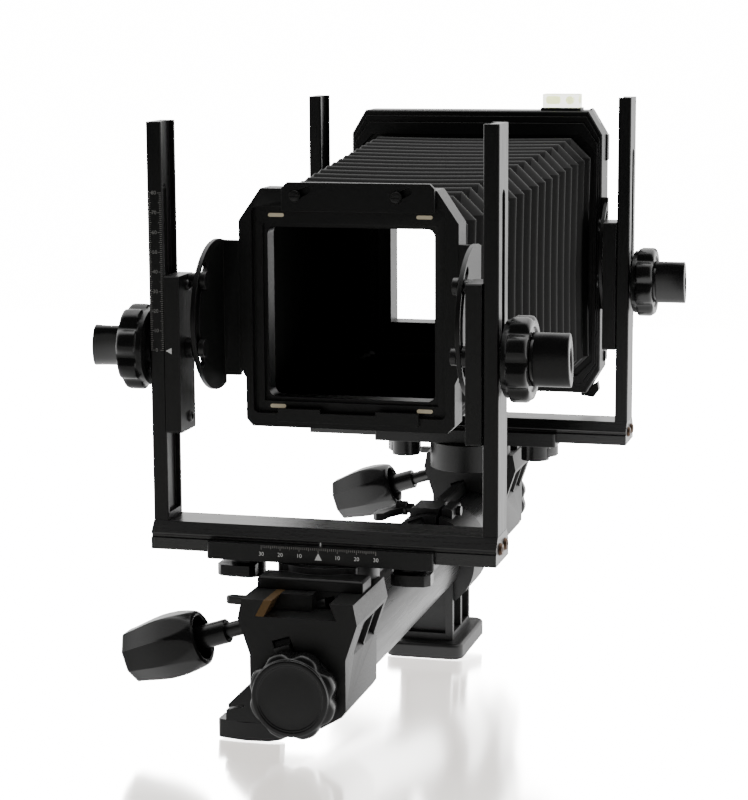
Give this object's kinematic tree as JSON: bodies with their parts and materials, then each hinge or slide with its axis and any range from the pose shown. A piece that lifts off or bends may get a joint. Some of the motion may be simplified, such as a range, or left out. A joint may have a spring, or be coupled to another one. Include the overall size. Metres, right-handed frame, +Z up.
{
  "type": "view camera",
  "caption": "Monorail view camera: two U-shaped standards with rise, shift, swing and tilt on a geared tube rail, joined by a tapered bellows",
  "frame": {"origin": "mouth of the tripod socket, in the middle of the foot under the rail clamp", "axes": "+Z up, -Y towards the subject (front standard), +Y towards the operator, +X to the viewer's right seen from the front"},
  "size_m": [0.2808, 0.495, 0.3325],
  "materials": {
    "black_anodised": "black anodised, satin",
    "black_paint": "fine black crackle-free enamel, satin",
    "grey_tube": "dark grey anodised tube",
    "black_plastic": "moulded black plastic, satin",
    "dark_steel": "blackened steel",
    "brass": "worn brass",
    "bellows_skin": "black bellows cloth, semi-matte",
    "level_acrylic": "clear acrylic with yellow-green vials"
  },
  "bodies": {
    "rail": {"rail_tube": "grey_tube", "rail_rack": "dark_steel", "front_end_cap": "black_plastic", "rear_end_cap": "black_plastic", "tripod_block": "black_paint", "tripod_insert": "dark_steel"},
    "tripod_lever": {"tripod_lever": "dark_steel"},
    "front_carriage_body": {"front_carriage": "black_paint", "front_rail_jaw": "black_paint", "front_swing_base": "black_paint", "brass_gib": "brass"},
    "front_focus_drive": {"front_focus_pinion": "dark_steel", "front_focus_handle": "black_plastic"},
    "front_rail_lever_body": {"front_rail_lever": "black_plastic"},
    "front_focus_lock_body": {"front_focus_lock": "dark_steel"},
    "front_swing_body": {"front_turntable": "black_anodised", "front_shift_channel": "black_anodised"},
    "front_shift_lever_body": {"front_shift_lever": "black_plastic"},
    "front_swing_lever_body": {"front_swing_lever": "black_plastic"},
    "front_standard_body": {"front_crossbar": "black_anodised", "front_upright_left": "black_anodised", "front_upright_right": "black_anodised", "front_end_screws": "dark_steel"},
    "front_slide_body": {"front_slide_left": "black_anodised", "front_slide_right": "black_anodised", "front_spindles": "dark_steel"},
    "front_tilt_knob_left_body": {"front_tilt_knob_left": "black_plastic"},
    "front_rise_knob_left_body": {"front_rise_knob_left": "black_plastic"},
    "front_tilt_knob_right_body": {"front_tilt_knob_right": "black_plastic"},
    "front_rise_knob_right_body": {"front_rise_knob_right": "black_plastic"},
    "front_frame_body": {"front_frame": "black_paint", "front_tilt_plates": "black_anodised", "lock_screws": "dark_steel"},
    "rear_carriage_body": {"rear_carriage": "black_paint", "rear_rail_jaw": "black_paint", "rear_swing_base": "black_paint"},
    "rear_focus_drive": {"rear_focus_pinion": "dark_steel", "rear_focus_handle": "black_plastic"},
    "rear_rail_lever_body": {"rear_rail_lever": "black_plastic"},
    "rear_focus_lock_body": {"rear_focus_lock": "dark_steel"},
    "rear_swing_body": {"rear_turntable": "black_anodised", "rear_shift_channel": "black_anodised"},
    "rear_shift_lever_body": {"rear_shift_lever": "black_plastic"},
    "rear_swing_lever_body": {"rear_swing_lever": "black_plastic"},
    "rear_standard_body": {"rear_crossbar": "black_anodised", "rear_upright_left": "black_anodised", "rear_upright_right": "black_anodised", "rear_end_screws": "dark_steel"},
    "rear_slide_body": {"rear_slide_left": "black_anodised", "rear_slide_right": "black_anodised", "rear_spindles": "dark_steel"},
    "rear_tilt_knob_left_body": {"rear_tilt_knob_left": "black_plastic"},
    "rear_rise_knob_left_body": {"rear_rise_knob_left": "black_plastic"},
    "rear_tilt_knob_right_body": {"rear_tilt_knob_right": "black_plastic"},
    "rear_rise_knob_right_body": {"rear_rise_knob_right": "black_plastic"},
    "rear_frame_body": {"rear_frame": "black_paint", "rear_tilt_plates": "black_anodised", "spirit_level": "level_acrylic", "bellows": "bellows_skin"},
    "lens_board_lock_body": {"lens_board_lock": "black_anodised"}
  },
  "joints": [
    {"name": "tripod_lever_turn", "type": "hinge", "parent": "rail", "child": "tripod_lever", "pos_m": [0, 0, 0.0843], "axis": [1, 0, 0], "range_deg": [0, 40]},
    {"name": "front_focus", "type": "slide", "parent": "rail", "child": "front_carriage_body", "axis": [0, 1, 0], "range_m": [0, 0.066], "deforming": ["bellows"]},
    {"name": "front_focus_handle_turn", "type": "hinge", "parent": "front_carriage_body", "child": "front_focus_drive", "pos_m": [-0.0103, -0.272, 0.08809], "axis": [-0.9521, 0, -0.3057], "range_deg": [0, 445.88]},
    {"name": "front_rail_lever_turn", "type": "hinge", "parent": "front_carriage_body", "child": "front_rail_lever_body", "pos_m": [-0.022, -0.284, 0.03], "axis": [0, 0, 1], "range_deg": [0, 90]},
    {"name": "front_focus_lock_turn", "type": "hinge", "parent": "front_carriage_body", "child": "front_focus_lock_body", "pos_m": [-0.0258, -0.28, 0.096], "axis": [0, 0, 1], "range_deg": [0, 40]},
    {"name": "front_swing", "type": "hinge", "parent": "front_carriage_body", "child": "front_swing_body", "pos_m": [0, -0.239, 0.108], "axis": [0, 0, 1], "range_deg": [-18, 18], "deforming": ["bellows"]},
    {"name": "front_shift_lever_turn", "type": "hinge", "parent": "front_swing_body", "child": "front_shift_lever_body", "pos_m": [-0.043, -0.239, 0.1], "axis": [0, 0, 1], "range_deg": [-55, 0]},
    {"name": "front_swing_lever_turn", "type": "hinge", "parent": "front_swing_body", "child": "front_swing_lever_body", "pos_m": [0.043, -0.239, 0.1], "axis": [0, 0, 1], "range_deg": [0, 55]},
    {"name": "front_shift", "type": "slide", "parent": "front_swing_body", "child": "front_standard_body", "axis": [1, 0, 0], "range_m": [-0.03, 0.03], "deforming": ["bellows"]},
    {"name": "front_rise", "type": "slide", "parent": "front_standard_body", "child": "front_slide_body", "axis": [0, 0, 1], "range_m": [0, 0.08], "deforming": ["bellows"]},
    {"name": "front_tilt", "type": "hinge", "parent": "front_slide_body", "child": "front_frame_body", "pos_m": [0, -0.207, 0.2295], "axis": [1, 0, 0], "range_deg": [-15, 15], "deforming": ["bellows"]},
    {"name": "front_tilt_knob_left_turn", "type": "hinge", "parent": "front_slide_body", "child": "front_tilt_knob_left_body", "pos_m": [-0.0925, -0.239, 0.216], "axis": [1, 0, 0], "range_deg": [-180, 180]},
    {"name": "front_rise_knob_left_turn", "type": "hinge", "parent": "front_slide_body", "child": "front_rise_knob_left_body", "pos_m": [-0.1085, -0.239, 0.216], "axis": [1, 0, 0], "range_deg": [-180, 180]},
    {"name": "front_tilt_knob_right_turn", "type": "hinge", "parent": "front_slide_body", "child": "front_tilt_knob_right_body", "pos_m": [0.0925, -0.239, 0.216], "axis": [1, 0, 0], "range_deg": [-180, 180]},
    {"name": "front_rise_knob_right_turn", "type": "hinge", "parent": "front_slide_body", "child": "front_rise_knob_right_body", "pos_m": [0.1085, -0.239, 0.216], "axis": [1, 0, 0], "range_deg": [-180, 180]},
    {"name": "rear_focus", "type": "slide", "parent": "rail", "child": "rear_carriage_body", "axis": [0, 1, 0], "range_m": [-0.046, 0], "deforming": ["bellows"]},
    {"name": "rear_focus_handle_turn", "type": "hinge", "parent": "rear_carriage_body", "child": "rear_focus_drive", "pos_m": [-0.0103, 0.122, 0.08809], "axis": [-0.9521, 0, -0.3057], "range_deg": [-311.07, 0]},
    {"name": "rear_rail_lever_turn", "type": "hinge", "parent": "rear_carriage_body", "child": "rear_rail_lever_body", "pos_m": [-0.022, 0.134, 0.03], "axis": [0, 0, 1], "range_deg": [-90, 0]},
    {"name": "rear_focus_lock_turn", "type": "hinge", "parent": "rear_carriage_body", "child": "rear_focus_lock_body", "pos_m": [-0.0258, 0.13, 0.096], "axis": [0, 0, 1], "range_deg": [-40, 0]},
    {"name": "rear_swing", "type": "hinge", "parent": "rear_carriage_body", "child": "rear_swing_body", "pos_m": [0, 0.098, 0.108], "axis": [0, 0, 1], "range_deg": [-18, 18], "deforming": ["bellows"]},
    {"name": "rear_shift_lever_turn", "type": "hinge", "parent": "rear_swing_body", "child": "rear_shift_lever_body", "pos_m": [-0.043, 0.098, 0.1], "axis": [0, 0, 1], "range_deg": [0, 55]},
    {"name": "rear_swing_lever_turn", "type": "hinge", "parent": "rear_swing_body", "child": "rear_swing_lever_body", "pos_m": [0.043, 0.098, 0.1], "axis": [0, 0, 1], "range_deg": [-55, 0]},
    {"name": "rear_shift", "type": "slide", "parent": "rear_swing_body", "child": "rear_standard_body", "axis": [1, 0, 0], "range_m": [-0.03, 0.03], "deforming": ["bellows"]},
    {"name": "rear_rise", "type": "slide", "parent": "rear_standard_body", "child": "rear_slide_body", "axis": [0, 0, 1], "range_m": [0, 0.08], "deforming": ["bellows"]},
    {"name": "rear_tilt", "type": "hinge", "parent": "rear_slide_body", "child": "rear_frame_body", "pos_m": [0, 0.13, 0.2295], "axis": [1, 0, 0], "range_deg": [-15, 10], "deforming": ["bellows"]},
    {"name": "rear_tilt_knob_left_turn", "type": "hinge", "parent": "rear_slide_body", "child": "rear_tilt_knob_left_body", "pos_m": [-0.106, 0.098, 0.216], "axis": [1, 0, 0], "range_deg": [-180, 180]},
    {"name": "rear_rise_knob_left_turn", "type": "hinge", "parent": "rear_slide_body", "child": "rear_rise_knob_left_body", "pos_m": [-0.122, 0.098, 0.216], "axis": [1, 0, 0], "range_deg": [-180, 180]},
    {"name": "rear_tilt_knob_right_turn", "type": "hinge", "parent": "rear_slide_body", "child": "rear_tilt_knob_right_body", "pos_m": [0.106, 0.098, 0.216], "axis": [1, 0, 0], "range_deg": [-180, 180]},
    {"name": "rear_rise_knob_right_turn", "type": "hinge", "parent": "rear_slide_body", "child": "rear_rise_knob_right_body", "pos_m": [0.122, 0.098, 0.216], "axis": [1, 0, 0], "range_deg": [-180, 180]},
    {"name": "lens_board_lock_slide", "type": "slide", "parent": "front_frame_body", "child": "lens_board_lock_body", "axis": [-0.9, 0, -0.436], "range_m": [0, 0.007]}
  ],
  "couplings": [
    {"joint": "front_focus_handle_turn", "follows": "front_focus", "rad_per_m": 117.65},
    {"joint": "rear_focus_handle_turn", "follows": "rear_focus", "rad_per_m": 117.65}
  ]
}
